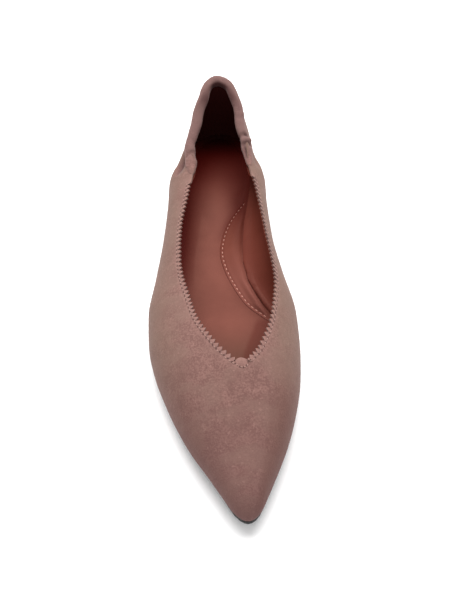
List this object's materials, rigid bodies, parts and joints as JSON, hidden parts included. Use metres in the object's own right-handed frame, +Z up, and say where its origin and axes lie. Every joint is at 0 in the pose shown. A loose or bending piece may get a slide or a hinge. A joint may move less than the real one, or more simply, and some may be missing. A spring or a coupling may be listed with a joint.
{
  "type": "ballet flat",
  "caption": "Right ballet flat with a pointed toe, a pinked V throat, an elasticated heel collar, a padded insole and a thin sole with a low heel.",
  "frame": {"origin": "on the floor, under the middle of the shoe's length and width", "axes": "+Z up from the floor, -Y towards the toe, +X towards the inside (big toe side) of the foot"},
  "size_m": [0.0812, 0.262, 0.0619],
  "materials": {
    "suede": "dusty rose suede, napped",
    "sock_leather": "brick red smooth leather",
    "sole_rubber": "matt black"
  },
  "bodies": {
    "root": {"upper": "suede", "collar_casing": "suede", "insole": "sock_leather", "outsole": "sole_rubber", "heel": "sole_rubber"}
  },
  "joints": []
}
